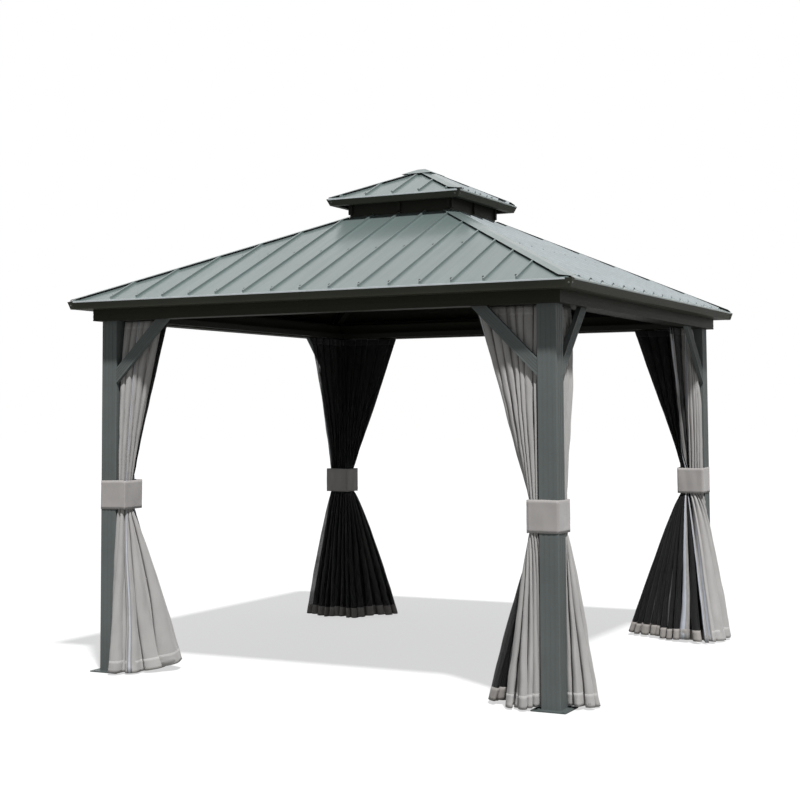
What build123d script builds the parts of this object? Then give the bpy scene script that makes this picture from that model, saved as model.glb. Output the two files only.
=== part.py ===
from build123d import *

import os
from math import asin, atan, cos, radians, sin, sqrt, tan

# A square hardtop gazebo: four posts on foot plates, a ring of beams with knee braces, a hipped main roof
# of standing-seam sheet, a smaller raised roof over a vent collar, and curtains and a net tied back at
# each post. Millimetres, +Z up, origin on the ground at the centre of the plan. The front is -Y.

# Plan, height and slope
eave_width = 3000.0  # across the gutters, outer edge to outer edge
eave_overhang = 100.0  # gutter edge past the outer face of the beam
beam_overhang = 37.0  # outer face of the beam past the post
clear_height = 1950.0  # ground to the underside of the beams
pitch_angle = 24.6  # slope of both roofs, degrees

# Posts and foot plates
post_width = 100.0
post_wall = 2.5
post_corner_radius = 4.0
post_flute_width = 8.0
post_flute_depth = 1.0
post_flute_spacing = 25.0
post_flute_count = 3
plate_width = 180.0
plate_thickness = 5.0
plate_corner_radius = 6.0
anchor_hole_radius = 6.0
anchor_edge = 20.0  # hole centre to the edge of the plate

# Beams and knee braces
beam_width = 100.0
beam_height = 100.0
beam_wall = 2.5
beam_groove_width = 5.0
beam_groove_depth = 1.2
beam_groove_spacing = 24.0
joint_gap = 0.8  # between the two halves of a beam or a gutter
mitre_gap = 0.4  # from a mitred end to the hip line
brace_reach = 350.0  # along the post and along the beam, to the outer edge
brace_width = 60.0
brace_thickness = 25.0
brace_flute_width = 6.0
brace_flute_depth = 1.5
brace_flute_spacing = 12.0
brace_flute_count = 4

# Curtain rails, a double track on the inner face of each beam
rail_drop = 34.0  # top of the rail to the bottom of its tracks
rail_rise = 6.0  # bottom of the tracks above the underside of the beam
rail_wall = 2.0
track_width = 22.0
track_mouth = 10.0
curtain_track_inset = 13.0  # track centre inside the inner face of the beam
net_track_inset = 47.0

# Gutters
gutter_height = 42.0
gutter_slant = 13.0
gutter_wall = 2.0
gutter_rise = 6.0  # top of the lip above the top of the beam
gutter_flange = 30.0  # upstand on the face of the beam
gutter_seat_inset = 48.0  # wall that carries the roof sheet, inside the lip
gutter_corner_leg = 36.0
gutter_corner_wall = 1.6

# Roof sheets, seams and caps
sheet_thickness = 1.2
nose_radius = 3.0  # lower edge of a sheet, rolled over the lip in front of it
nose_drop = 6.0
seam_spacing = 173.0
seam_width = 14.0
seam_side_angle = 77.0
seam_height = 11.0
seam_setback = 18.0  # seam end to the lower edge of the sheet
main_seam_count = 15
upper_seam_count = 5
hip_gap = 10.0  # edge of a sheet to the hip line
hip_cap_wing = 45.0
hip_cap_rise = 3.0  # fold of the cap above the line where the sheets would meet
hip_cap_thickness = 1.2
hip_cap_foot = 10.0  # lower end of the cap inside the lower edges of the sheets
hip_strip_width = 4.0  # closing strip under the fold
hip_strip_height = 3.6
peak_cap_width = 200.0
peak_cap_flat = 50.0
upper_cap_head_share = 0.25  # centre to the head of an upper hip cap, of the width of the peak cap
peak_hole_width = 60.0  # across the raised sheets, open under the peak cap
seat_gap = 0.3  # between a piece and what it lies on, where the faces slope or the piece is soft

# Vent collar and raised roof
collar_width = 660.0
collar_wall = 1.5
upper_overhang = 105.0  # raised eave past the collar
upper_eave_rise = 101.0  # raised eave above the main roof at the collar
fascia_height = 38.0
fascia_slant = 16.0
fascia_seat_inset = 48.0
vent_height = 30.0
vent_length = 230.0
vent_head = 14.0  # vent to the top of the collar
strut_width = 20.0
strut_depth = 12.0

# Roof frame
frame_wall = 2.0
ring_width = 38.0
ring_height = 50.0
hip_rafter_width = 40.0
hip_rafter_depth = 62.0
side_rafter_width = 30.0
side_rafter_depth = 62.0
purlin_width = 30.0
purlin_depth = 25.0
purlin_share = 0.5  # of the way up the slope
upper_rafter_width = 25.0
upper_rafter_depth = 30.0
hub_width = 80.0
hub_depth = 50.0

# Curtains, nets and tie bands, measured from the inner corner of a post
hem_height = 12.0
bundle_width = 60.0  # gathered cloth beside the post, under the band
curtain_setback = 5.0  # gathered curtain inside the outer face of the post
curtain_gap = 3.0  # gathered curtain to the plane of the inner face of the post
curtain_pleat = 24.0  # depth of the folds at the rail
curtain_spread = 305.0  # along its rail
curtain_hem_near = 8.0  # curtain hem beside the post
curtain_hem_far = 130.0
curtain_hem_forward = 40.0  # past the outer face of the post
net_gap = 2.0  # gathered net to the planes of the inner faces of the post
net_end = 34.0  # bevelled inner corner of the gathered net
net_middle = 48.0
net_pleat = 20.0
net_spread = 340.0
net_hem_near = 6.0
net_hem_far = 265.0
net_hem_end = 60.0
net_hem_middle = 150.0
drape_shares = (0.0, 0.25, 0.5, 0.75, 1.0)  # levels from the band up to the rails
flare_shares = (0.0, 0.5)  # levels from the hem up to the band
band_height = 160.0
band_thickness = 2.5
band_ease = 1.5  # between the gathered cloth and the band
band_middles = {"front_right": 920.0, "back_right": 985.0, "back_left": 950.0, "front_left": 977.0}

overrun = 20.0  # cuts run past faces by this much

# Worked-out places, measured outwards from the centre of the plan
slope = radians(pitch_angle)
diagonal = sqrt(2)  # of a square of side one
hip_slope = atan(tan(slope) / diagonal)
hip_fall = asin(sin(slope) / diagonal)  # of a sheet away from the hip, square to the hip
eave_half = eave_width / 2
beam_outer = eave_half - eave_overhang
beam_inner = beam_outer - beam_width
beam_middle = (beam_outer + beam_inner) / 2
post_outer = beam_outer - beam_overhang
post_inner = post_outer - post_width
post_middle = (post_outer + post_inner) / 2
collar_half = collar_width / 2
upper_half = collar_half + upper_overhang
half_run = eave_half + overrun

# Worked-out heights
beam_top = clear_height + beam_height
rail_foot = clear_height + rail_rise
lip_top = beam_top + gutter_rise
lip_bottom = lip_top - gutter_height
nose_reach = seat_gap + sheet_thickness - nose_radius * (1 - sin(slope))
nose_rise = seat_gap + nose_radius * cos(slope)
sheet_edge = eave_half + nose_reach
upper_edge = upper_half + nose_reach
sheet_drop = (sheet_thickness + seat_gap) / cos(slope)
cap_lift = seam_height + seat_gap


def main_z(out):
    """Height of the top of the main sheets at a distance out from the centre."""
    return lip_top + nose_rise + (sheet_edge - out) * tan(slope)


upper_lip_top = main_z(collar_half) + upper_eave_rise
upper_lip_bottom = upper_lip_top - fascia_height


def upper_z(out):
    """Height of the top of the raised sheets at a distance out from the centre."""
    return upper_lip_top + nose_rise + (upper_edge - out) * tan(slope)


ring_top = main_z(collar_half) - sheet_drop
ring_foot = ring_top - ring_height
collar_head = upper_z(collar_half) - sheet_drop
strut_foot = main_z(collar_half) + (cap_lift + hip_cap_thickness + seat_gap) / cos(slope)

# Directions at the front side and at its right-hand hip
up = Vector(0, 0, 1)
front = Vector(0, -1, 0)
right = Vector(1, 0, 0)
up_front = Vector(0, cos(slope), sin(slope))
hip = Vector(1, -1, 0).normalized()
up_hip = hip * -cos(hip_slope) + up * sin(hip_slope)
front_section = Plane(origin=(0, 0, 0), x_dir=front, z_dir=(-1, 0, 0))  # x runs out and y runs up
right_hip = Plane(origin=(0, 0, 0), x_dir=hip, z_dir=(1, 1, 0))
left_hip = Plane(origin=(0, 0, 0), x_dir=(-1, -1, 0), z_dir=(-1, 1, 0))

side_turns = {"front": 0, "right": 90, "back": 180, "left": 270}
corner_turns = {"front_right": 0, "back_right": 90, "back_left": 180, "front_left": 270}

os.makedirs("parts", exist_ok=True)


def finish(builder, name):
    """Label a finished piece and write it out."""
    builder.part.label = name
    export_step(builder.part, f"parts/{name}.step")


def finish_each(quarter, name, turns):
    """Write a front piece once for each side or corner, turned into place."""
    for place, turn in turns.items():
        with BuildPart() as turned:
            with PolarLocations(0, 1, start_angle=turn):
                add(quarter.part)
        finish(turned, f"{name}_{place}")


def finish_ring(quarter, name):
    """Write a front piece and its three turned copies as one node."""
    with BuildPart() as ring:
        with PolarLocations(0, len(side_turns)):
            add(quarter.part)
    finish(ring, name)


def mitre(gap):
    """Trim the piece in hand to the front quarter of the plan, short of both hips."""
    split(bisect_by=right_hip.offset(-gap), keep=Keep.BOTTOM)
    split(bisect_by=left_hip.offset(-gap), keep=Keep.BOTTOM)


def upright_at(out, direction):
    """Upright plane across a direction at a distance out from the centre, facing outwards."""
    return Plane(origin=direction * out, x_dir=up, z_dir=direction)


def seam_plane(edge, edge_z):
    """Plane across the seams at the lower edge of a front sheet: y stands up from the sheet."""
    return Plane(origin=front * edge + up * edge_z, x_dir=(-1, 0, 0), z_dir=up_front)


# Posts and foot plates
with BuildPart() as post:
    with BuildSketch(Plane(origin=(post_middle, -post_middle, plate_thickness))):
        RectangleRounded(post_width, post_width, post_corner_radius)
        with PolarLocations(post_width / 2, len(corner_turns)):
            with GridLocations(0, post_flute_spacing, 1, post_flute_count):
                Rectangle(2 * post_flute_depth, post_flute_width, mode=Mode.SUBTRACT)
        post_bore = post_width - 2 * (post_wall + post_flute_depth)
        Rectangle(post_bore, post_bore, mode=Mode.SUBTRACT)
    extrude(amount=clear_height - plate_thickness)
finish_each(post, "post", corner_turns)

with BuildPart() as foot_plate:
    with BuildSketch(Plane(origin=(post_middle, -post_middle, 0))):
        RectangleRounded(plate_width, plate_width, plate_corner_radius)
        anchor_spacing = plate_width - 2 * anchor_edge
        with GridLocations(anchor_spacing, anchor_spacing, 2, 2):
            Circle(anchor_hole_radius, mode=Mode.SUBTRACT)
    extrude(amount=plate_thickness)
finish_ring(foot_plate, "foot_plates")

# Beams in two halves a side, mitred at the corners
with BuildPart() as beam:
    with BuildSketch(front_section):
        with Locations((beam_middle, clear_height + beam_height / 2)):
            Rectangle(beam_width, beam_height)
            Rectangle(beam_width - 2 * beam_wall, beam_height - 2 * beam_wall, mode=Mode.SUBTRACT)
        with Locations((beam_outer, clear_height + beam_groove_spacing)):
            with GridLocations(0, beam_groove_spacing, 1, 2):
                Rectangle(2 * beam_groove_depth, beam_groove_width, mode=Mode.SUBTRACT)
    extrude(amount=half_run, both=True)
    mitre(mitre_gap)
    with BuildSketch(front_section):
        with Locations((beam_middle, clear_height + beam_height / 2)):
            Rectangle(beam_width + overrun, beam_height + overrun)
    extrude(amount=joint_gap / 2, both=True, mode=Mode.SUBTRACT)
finish_each(beam, "beam", side_turns)

# Knee braces, flush with the outer faces of their post
with BuildPart() as knee_brace:
    brace_face = Plane(origin=(post_inner, -post_outer, clear_height), x_dir=(-1, 0, 0), z_dir=(0, 1, 0))
    brace_end = brace_width * diagonal
    with BuildSketch(brace_face):
        with BuildLine():
            Polyline(
                (0, -brace_reach),
                (0, brace_end - brace_reach),
                (brace_reach - brace_end, 0),
                (brace_reach, 0),
                close=True,
            )
        make_face()
    extrude(amount=brace_thickness)
    brace_centre = (brace_reach - brace_end / 2) / 2
    with BuildSketch(brace_face):
        with Locations(Location((brace_centre, -brace_centre), 45)):
            with GridLocations(0, brace_flute_spacing, 1, brace_flute_count):
                Rectangle(2 * brace_reach, brace_flute_width)
    extrude(amount=brace_flute_depth, mode=Mode.SUBTRACT)
    mirror(about=right_hip)
finish_ring(knee_brace, "knee_braces")

# Curtain rails
with BuildPart() as rail:
    with BuildSketch(front_section):
        rail_inner = beam_inner - net_track_inset - track_width / 2
        with Locations((rail_inner, rail_foot + rail_drop)):
            Rectangle(beam_inner - rail_inner, rail_wall, align=(Align.MIN, Align.MAX))
        with Locations((beam_inner, rail_foot + rail_drop)):
            Rectangle(rail_wall, rail_drop, align=(Align.MAX, Align.MAX))
        for inset in (curtain_track_inset, net_track_inset):
            with Locations((beam_inner - inset, rail_foot + rail_drop / 2)):
                Rectangle(track_width, rail_drop)
                Rectangle(track_width - 2 * rail_wall, rail_drop - 2 * rail_wall, mode=Mode.SUBTRACT)
            with Locations((beam_inner - inset, rail_foot)):
                Rectangle(track_mouth, 2 * rail_wall, mode=Mode.SUBTRACT)
    extrude(amount=half_run, both=True)
    mitre(mitre_gap)
finish_ring(rail, "curtain_rails")

# Gutters in two halves a side, with a wall inside that carries the lower edge of the sheets
with BuildPart() as gutter:
    seat_out = eave_half - gutter_seat_inset
    seat_z = main_z(seat_out) - sheet_drop
    with BuildSketch(front_section):
        with BuildLine():
            Polyline(
                (eave_half, lip_top),
                (eave_half - gutter_slant, lip_bottom),
                (beam_outer, lip_bottom),
                (beam_outer, lip_bottom + gutter_flange),
            )
            offset(amount=gutter_wall, side=Side.RIGHT, kind=Kind.INTERSECTION)
        make_face()
        with BuildLine():
            Polyline(
                (seat_out, lip_bottom + gutter_wall / 2),
                (seat_out, seat_z),
                (seat_out - gutter_wall, seat_z + gutter_wall * tan(slope)),
                (seat_out - gutter_wall, lip_bottom + gutter_wall / 2),
                close=True,
            )
        make_face()
    extrude(amount=half_run, both=True)
    mitre(mitre_gap)
    with BuildSketch(front_section):
        with Locations((seat_out, lip_bottom)):
            Rectangle(2 * eave_overhang + overrun, 2 * (gutter_height + beam_height))
    extrude(amount=joint_gap / 2, both=True, mode=Mode.SUBTRACT)
finish_each(gutter, "gutter", side_turns)

with BuildPart() as gutter_corner:
    with BuildSketch(front_section):
        with BuildLine():
            Polyline(
                (eave_half, lip_top),
                (eave_half - gutter_slant, lip_bottom),
            )
            offset(amount=gutter_corner_wall, side=Side.LEFT)
        make_face()
    extrude(amount=-half_run)
    split(bisect_by=right_hip, keep=Keep.BOTTOM)
    split(bisect_by=Plane.YZ.offset(eave_half - gutter_corner_leg), keep=Keep.TOP)
    mirror(about=right_hip)
finish_ring(gutter_corner, "gutter_corners")


def sheet_run(edge, top_out):
    """Length of a sheet up the slope, from its lower edge to a distance out from the centre."""
    return (edge - top_out) / cos(slope)


def hip_section(edge, edge_z):
    """Plane square to the right-hand hip at the corner of the sheets: y stands up from the hip line."""
    return Plane(origin=hip * (diagonal * edge) + up * edge_z, x_dir=(-1, -1, 0), z_dir=up_hip)


def hip_length(edge):
    """Length along a hip from the corner of the sheets to the centre."""
    return diagonal * edge / cos(hip_slope)


def add_nose(edge, edge_z, half_length):
    """Roll the lower edge of a sheet down in front of the lip below it."""
    with BuildSketch(front_section) as nose:
        with BuildLine():
            roll = JernArc((edge, edge_z), (cos(slope), -sin(slope)), nose_radius, pitch_angle - 90)
            Line(roll @ 1, roll @ 1 - Vector(0, nose_drop))
            offset(amount=sheet_thickness, side=Side.RIGHT, kind=Kind.INTERSECTION)
        make_face()
    extrude(nose.sketch, amount=half_length, both=True)


cap_edge = cap_lift / cos(hip_fall) - hip_cap_wing * tan(hip_fall)
cap_fold = [(-hip_cap_wing, cap_edge), (0, hip_cap_rise), (hip_cap_wing, cap_edge)]


def trim_hip(edge, head):
    """Trim the piece in hand along the right-hand hip, from the edges of the sheets to its head."""
    split(bisect_by=upright_at(edge - hip_cap_foot, front), keep=Keep.BOTTOM)
    split(bisect_by=upright_at(edge - hip_cap_foot, right), keep=Keep.BOTTOM)
    split(bisect_by=upright_at(head, hip), keep=Keep.TOP)


def cap_space(edge, edge_z):
    """Space that the caps of both hips take from the seams of a front sheet."""
    with BuildPart() as space:
        with BuildSketch(hip_section(edge, edge_z - seat_gap)):
            with BuildLine():
                Polyline(*cap_fold)
                offset(amount=2 * seam_height, side=Side.LEFT, kind=Kind.INTERSECTION)
            make_face()
        extrude(amount=hip_length(edge))
        mirror(about=Plane.YZ)
    return space.part


main_edge_z = main_z(sheet_edge)
upper_edge_z = upper_z(upper_edge)
main_space = cap_space(sheet_edge, main_edge_z)
upper_space = cap_space(upper_edge, upper_edge_z)

# Roof sheets with standing seams, trimmed along the hips
with BuildPart() as main_sheet:
    main_line = seam_plane(sheet_edge, main_edge_z)
    main_run = sheet_run(sheet_edge, collar_half + sheet_thickness)
    with BuildSketch(main_line):
        Rectangle(eave_width, sheet_thickness, align=(Align.CENTER, Align.MAX))
    extrude(amount=main_run)
    with BuildSketch(main_line.offset(seam_setback)):
        with GridLocations(seam_spacing, 0, main_seam_count, 1):
            Trapezoid(seam_width, seam_height, seam_side_angle, align=(Align.CENTER, Align.MIN))
    extrude(amount=main_run - seam_setback)
    add(main_space, mode=Mode.SUBTRACT)
    add_nose(sheet_edge, main_edge_z, eave_half - gutter_corner_leg - seat_gap)
    mitre(hip_gap)
finish_each(main_sheet, "roof_sheet", side_turns)

with BuildPart() as upper_sheet:
    upper_line = seam_plane(upper_edge, upper_edge_z)
    upper_run = sheet_run(upper_edge, peak_hole_width / 2)
    with BuildSketch(upper_line):
        Rectangle(2 * upper_half, sheet_thickness, align=(Align.CENTER, Align.MAX))
    extrude(amount=upper_run)
    with BuildSketch(upper_line.offset(seam_setback)):
        with GridLocations(seam_spacing, 0, upper_seam_count, 1):
            Trapezoid(seam_width, seam_height, seam_side_angle, align=(Align.CENTER, Align.MIN))
    extrude(amount=upper_run - seam_setback)
    add(upper_space, mode=Mode.SUBTRACT)
    add_nose(upper_edge, upper_edge_z, upper_half)
    mitre(hip_gap)
finish_ring(upper_sheet, "upper_sheets")

main_cap_head = diagonal * collar_half + seat_gap
upper_cap_head = diagonal * peak_cap_width * upper_cap_head_share

# Hip caps, folded a little along the hip and lying across the seams of both sheets
with BuildPart() as main_cap:
    with BuildSketch(hip_section(sheet_edge, main_edge_z)):
        with BuildLine():
            Polyline(*cap_fold)
            offset(amount=hip_cap_thickness, side=Side.LEFT, kind=Kind.INTERSECTION)
        make_face()
    extrude(amount=hip_length(sheet_edge))
    trim_hip(sheet_edge, main_cap_head)
finish_ring(main_cap, "hip_caps")

with BuildPart() as upper_cap:
    with BuildSketch(hip_section(upper_edge, upper_edge_z)):
        with BuildLine():
            Polyline(*cap_fold)
            offset(amount=hip_cap_thickness, side=Side.LEFT, kind=Kind.INTERSECTION)
        make_face()
    extrude(amount=hip_length(upper_edge))
    trim_hip(upper_edge, upper_cap_head)
finish_ring(upper_cap, "upper_hip_caps")

# Peak cap, a flat-topped pyramid of sheet over the ends of the upper hip caps
with BuildPart() as peak_cap:
    peak_lift = (cap_lift + hip_cap_thickness + seat_gap) / cos(slope)
    peak_wall = hip_cap_thickness / cos(slope)
    for lift, how in ((peak_lift + peak_wall, Mode.ADD), (peak_lift, Mode.SUBTRACT)):
        with BuildSketch(Plane.XY.offset(upper_z(peak_cap_width / 2) + lift)):
            Rectangle(peak_cap_width, peak_cap_width)
        with BuildSketch(Plane.XY.offset(upper_z(peak_cap_flat / 2) + lift)):
            Rectangle(peak_cap_flat, peak_cap_flat)
        loft(ruled=True, mode=how)
finish(peak_cap, "peak_cap")

# Vent collar: four walls from the roof ring up to the raised sheets, with vents under the raised eaves
with BuildPart() as collar_side:
    with BuildSketch(front_section):
        with Locations((collar_half, ring_foot)):
            Rectangle(collar_wall, collar_head - ring_foot, align=(Align.MAX, Align.MIN))
    extrude(amount=half_run, both=True)
    mitre(mitre_gap)
    vent_middle = front * collar_half + up * (collar_head - vent_head)
    vent_face = Plane(origin=vent_middle, x_dir=(1, 0, 0), z_dir=front)
    with BuildSketch(vent_face):
        with GridLocations(collar_half, 0, 2, 1):
            Rectangle(vent_length, vent_height, align=(Align.CENTER, Align.MAX))
    extrude(amount=-2 * collar_wall, mode=Mode.SUBTRACT)
finish_ring(collar_side, "vent_collar")

with BuildPart() as struts:
    strut_head = upper_z(collar_half + strut_depth) - sheet_drop
    with BuildSketch(Plane.XY.offset(strut_foot)):
        with Locations((0, -collar_half - strut_depth / 2)):
            with GridLocations((collar_width - strut_width) / 2 - seat_gap, 0, 3, 1):
                Rectangle(strut_width, strut_depth)
    extrude(amount=strut_head - strut_foot)
finish_ring(struts, "vent_struts")

# Fascia round the raised eave, hung from the underside of its sheets
with BuildPart() as fascia:
    fascia_out = upper_half - fascia_seat_inset
    with BuildSketch(front_section):
        with BuildLine():
            Polyline(
                (upper_half, upper_lip_top),
                (upper_half - fascia_slant, upper_lip_bottom),
                (fascia_out, upper_lip_bottom),
                (fascia_out, upper_z(fascia_out + gutter_wall) - sheet_drop),
            )
            offset(amount=gutter_wall, side=Side.RIGHT, kind=Kind.INTERSECTION)
        make_face()
    extrude(amount=half_run, both=True)
    mitre(mitre_gap)
finish_ring(fascia, "upper_fascia")


def closing_strip(edge, edge_z, head):
    """Bar under the fold of a hip cap, between the sheets, over the length of the cap."""
    with BuildPart() as strip:
        with BuildSketch(hip_section(edge, edge_z)):
            with Locations((0, hip_cap_rise - 2 * seat_gap)):
                Rectangle(hip_strip_width, hip_strip_height, align=(Align.CENTER, Align.MAX))
        extrude(amount=hip_length(edge))
        trim_hip(edge, head)
    return strip.part


# Roof frame: ring, hip rafters, side rafters and purlins
with BuildPart() as ring_bar:
    with BuildSketch(front_section):
        with Locations((collar_half - collar_wall - ring_width / 2, ring_foot + ring_height / 2)):
            Rectangle(ring_width, ring_height)
            Rectangle(ring_width - 2 * frame_wall, ring_height - 2 * frame_wall, mode=Mode.SUBTRACT)
    extrude(amount=half_run, both=True)
    mitre(mitre_gap)
finish_ring(ring_bar, "roof_ring")

with BuildPart() as hip_rafter:
    rafter_drop = sheet_drop + hip_rafter_width / 2 / diagonal * tan(slope)
    rafter_start = hip * (diagonal * sheet_edge) + up * (main_z(sheet_edge) - rafter_drop)
    with BuildSketch(Plane(origin=rafter_start, x_dir=(-1, -1, 0), z_dir=up_hip)):
        with Locations((0, -hip_rafter_depth / 2)):
            Rectangle(hip_rafter_width, hip_rafter_depth)
            Rectangle(
                hip_rafter_width - 2 * frame_wall, hip_rafter_depth - 2 * frame_wall, mode=Mode.SUBTRACT
            )
    extrude(amount=diagonal * sheet_edge / cos(hip_slope))
    split(bisect_by=upright_at(diagonal * beam_outer - hip_rafter_width / 2, hip), keep=Keep.BOTTOM)
    split(bisect_by=upright_at(diagonal * collar_half + seat_gap, hip), keep=Keep.TOP)
    split(bisect_by=Plane.XY.offset(beam_top), keep=Keep.TOP)
    add(closing_strip(sheet_edge, main_edge_z, main_cap_head))
finish_ring(hip_rafter, "hip_rafters")

with BuildPart() as side_rafter:
    with BuildSketch(seam_plane(sheet_edge, main_z(sheet_edge) - sheet_drop)):
        with Locations((0, -side_rafter_depth / 2)):
            Rectangle(side_rafter_width, side_rafter_depth)
            Rectangle(
                side_rafter_width - 2 * frame_wall, side_rafter_depth - 2 * frame_wall, mode=Mode.SUBTRACT
            )
    extrude(amount=sheet_edge / cos(slope))
    split(bisect_by=upright_at(beam_outer, front), keep=Keep.BOTTOM)
    split(bisect_by=upright_at(collar_half + seat_gap, front), keep=Keep.TOP)
    split(bisect_by=Plane.XY.offset(beam_top), keep=Keep.TOP)
finish_ring(side_rafter, "side_rafters")

with BuildPart() as purlin:
    purlin_out = sheet_edge + (collar_half - sheet_edge) * purlin_share
    purlin_top = Plane(
        origin=front * purlin_out + up * (main_z(purlin_out) - sheet_drop), x_dir=up_front, z_dir=(1, 0, 0)
    )
    with BuildSketch(purlin_top):
        with Locations((0, -purlin_depth / 2)):
            Rectangle(purlin_width, purlin_depth)
            Rectangle(purlin_width - 2 * frame_wall, purlin_depth - 2 * frame_wall, mode=Mode.SUBTRACT)
    extrude(amount=half_run, both=True)
    mitre(hip_rafter_width / 2 + seat_gap)
    with BuildSketch(purlin_top):
        Rectangle(purlin_width + overrun, 2 * purlin_depth + overrun)
    extrude(amount=side_rafter_width / 2 + seat_gap, both=True, mode=Mode.SUBTRACT)
finish_ring(purlin, "purlins")

# Raised roof frame: four short rafters from the corners of the collar to a hub under the peak
with BuildPart() as upper_rafter:
    upper_drop = sheet_drop + upper_rafter_width / 2 / diagonal * tan(slope)
    upper_start = hip * (diagonal * collar_half) + up * (upper_z(collar_half) - upper_drop)
    with BuildSketch(Plane(origin=upper_start, x_dir=(-1, -1, 0), z_dir=up_hip)):
        with Locations((0, -upper_rafter_depth / 2)):
            Rectangle(upper_rafter_width, upper_rafter_depth)
            Rectangle(
                upper_rafter_width - 2 * frame_wall, upper_rafter_depth - 2 * frame_wall, mode=Mode.SUBTRACT
            )
    extrude(amount=diagonal * collar_half / cos(hip_slope))
    rafter_foot = diagonal * (collar_half - collar_wall) - upper_rafter_width / 2 - seat_gap
    split(bisect_by=upright_at(rafter_foot, hip), keep=Keep.BOTTOM)
    split(bisect_by=upright_at(hub_width / 2 + seat_gap, hip), keep=Keep.TOP)
    add(closing_strip(upper_edge, upper_edge_z, upper_cap_head))
finish_ring(upper_rafter, "upper_rafters")

with BuildPart() as hub:
    hub_top = upper_z(hub_width / 2) - sheet_drop
    with BuildSketch(Plane.XY.offset(hub_top - hub_depth)):
        hub_sides = 2 * len(side_turns)
        RegularPolygon(hub_width / 2, hub_sides, major_radius=False, rotation=180 / hub_sides)
    extrude(amount=hub_depth)
finish(hub, "peak_hub")


def block(near, far, outer, inner):
    """Outline beside one inner side of the post: distances along the rail and across it."""
    return [(near, outer), (far, outer), (far, inner), (near, inner)]


def hung(near, far, reach):
    """L-shaped outline at the rails, with arms that reach away from the post along both of them."""
    return [(near, near), (reach, near), (reach, far), (far, far), (far, reach), (near, reach)]


def cornered(near, far, end, middle):
    """Outline in the inner corner of the post, bevelled on the side that faces the room."""
    return [(near, near), (far, near), (far, end), (middle, middle), (end, far), (near, far)]


def between(low, high, share):
    """Outline a share of the way from one outline to another."""
    return [(u + (a - u) * share, v + (b - v) * share) for (u, v), (a, b) in zip(low, high)]


def soft_levels(hem, waist, head, band_foot, band_top):
    """Heights and plan corners of a tied-back cloth, from its hem through the band to the rails."""
    levels = []
    for share in flare_shares:
        levels.append((hem_height + (band_foot - hem_height) * share, between(hem, waist, share)))
    levels.append((band_foot, waist))
    for share in drape_shares:
        height = band_top + (rail_foot - seat_gap - band_top) * share
        levels.append((height, between(waist, head, share)))
    return [(height, [(post_inner - u, v - post_inner) for u, v in outline]) for height, outline in levels]


# Curtains, nets and tie bands: a pair of curtains, a net and a band at every post
bundle = bundle_width + band_ease
curtain_line = post_inner - beam_inner + curtain_track_inset
net_line = post_inner - beam_inner + net_track_inset
curtain_outlines = (
    block(curtain_hem_near, curtain_hem_far, -post_width - curtain_hem_forward, -curtain_hem_near),
    block(seat_gap, bundle_width, curtain_setback - post_width, -curtain_gap),
    block(seat_gap, curtain_spread, curtain_line - curtain_pleat / 2, curtain_line + curtain_pleat / 2),
)
net_outlines = (
    cornered(net_hem_near, net_hem_far, net_hem_end, net_hem_middle),
    cornered(net_gap, bundle_width, net_end, net_middle),
    hung(net_line - net_pleat / 2, net_line + net_pleat / 2, net_spread),
)

for corner, turn in corner_turns.items():
    band_top = band_middles[corner] + band_height / 2
    band_foot = band_middles[corner] - band_height / 2

    with BuildPart() as curtains:
        for height, outline in soft_levels(*curtain_outlines, band_foot, band_top):
            with BuildSketch(Plane.XY.offset(height)):
                with BuildLine():
                    Polyline(*outline, close=True)
                make_face()
        loft(ruled=True)
        mirror(about=right_hip)
    finish_each(curtains, "curtain", {corner: turn})

    with BuildPart() as net:
        for height, outline in soft_levels(*net_outlines, band_foot, band_top):
            with BuildSketch(Plane.XY.offset(height)):
                with BuildLine():
                    Polyline(*outline, close=True)
                make_face()
        loft(ruled=True)
    finish_each(net, "net", {corner: turn})

    with BuildPart() as band:
        band_side = post_width + bundle + seat_gap
        band_middle = post_inner - bundle + band_side / 2
        band_turn = post_corner_radius + seat_gap
        outer_side = band_side + 2 * band_thickness
        with BuildSketch(Plane(origin=(band_middle, -band_middle, band_foot))):
            RectangleRounded(outer_side, outer_side, band_turn + band_thickness)
            RectangleRounded(band_side, band_side, band_turn, mode=Mode.SUBTRACT)
        extrude(amount=band_height)
    finish_each(band, "tie_band", {corner: turn})
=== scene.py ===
import math
from typing import NamedTuple

import bpy
import numpy as np
from mathutils import Matrix, Vector


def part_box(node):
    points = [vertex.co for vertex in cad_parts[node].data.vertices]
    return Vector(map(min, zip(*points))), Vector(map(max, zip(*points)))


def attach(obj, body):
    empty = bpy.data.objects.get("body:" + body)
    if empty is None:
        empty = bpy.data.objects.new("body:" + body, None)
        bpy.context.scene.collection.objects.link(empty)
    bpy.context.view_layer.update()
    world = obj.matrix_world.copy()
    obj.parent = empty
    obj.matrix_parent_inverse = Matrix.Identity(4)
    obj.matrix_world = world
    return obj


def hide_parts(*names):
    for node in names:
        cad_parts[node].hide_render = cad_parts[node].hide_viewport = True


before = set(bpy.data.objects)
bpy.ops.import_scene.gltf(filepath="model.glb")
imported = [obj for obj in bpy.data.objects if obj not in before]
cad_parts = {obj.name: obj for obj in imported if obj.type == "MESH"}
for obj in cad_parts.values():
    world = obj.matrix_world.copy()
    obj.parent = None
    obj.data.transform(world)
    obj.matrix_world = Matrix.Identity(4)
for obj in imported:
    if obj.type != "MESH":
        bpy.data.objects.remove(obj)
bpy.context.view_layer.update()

# Looks of a hardtop gazebo: coated sheet and extrusions, roof screws, and at each post two grey
# curtains and a black net that hang from the rails, are drawn to the post by a tie band, and flare
# out to their hems. Metres. A corner's own plan runs from the inner corner of its post: u along X
# and v along Y, both inwards.

rng = np.random.default_rng(7)

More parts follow.
